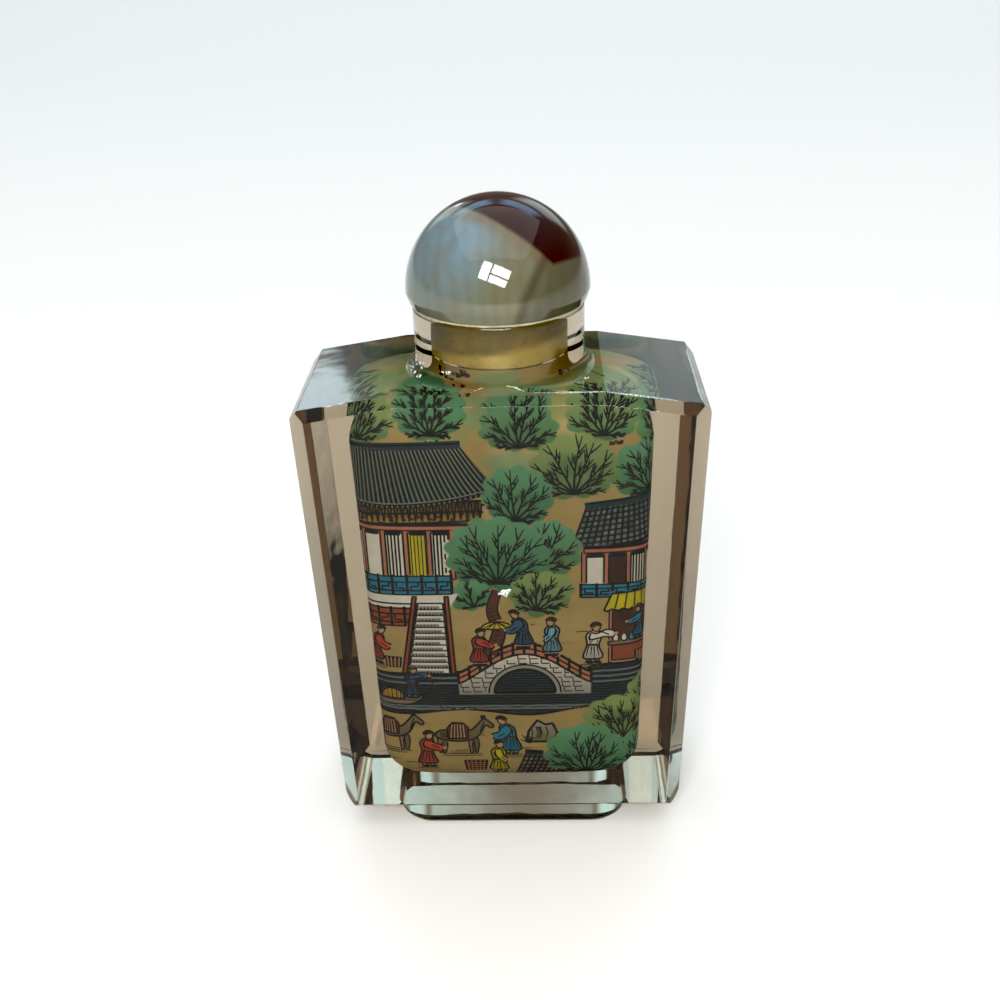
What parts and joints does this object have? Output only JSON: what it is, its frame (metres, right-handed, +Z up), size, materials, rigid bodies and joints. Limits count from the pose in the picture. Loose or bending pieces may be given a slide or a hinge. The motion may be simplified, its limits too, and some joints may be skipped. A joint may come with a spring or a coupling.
{
  "type": "snuff bottle",
  "caption": "Flat clear glass snuff bottle with ground edges, sloping shoulders, low foot, hollow room painted inside, and a lift-off domed agate stopper on a cork plug.",
  "frame": {"origin": "centre of the foot's underside, where the bottle rests", "axes": "+Z up through the neck, +X across the broad face, the painted front faces -Y"},
  "size_m": [0.05, 0.023, 0.0853],
  "materials": {
    "clear_glass": "polished clear glass, ground and polished edges",
    "agate": "polished banded agate, milky blue-grey with a dark red patch",
    "cork": "waxed cork, amber brown",
    "ink": "thin ink and colour painted on the wall of the room"
  },
  "bodies": {
    "root": {"bottle": "clear_glass", "stopper_cap": "agate", "stopper_plug": "cork"}
  },
  "joints": []
}
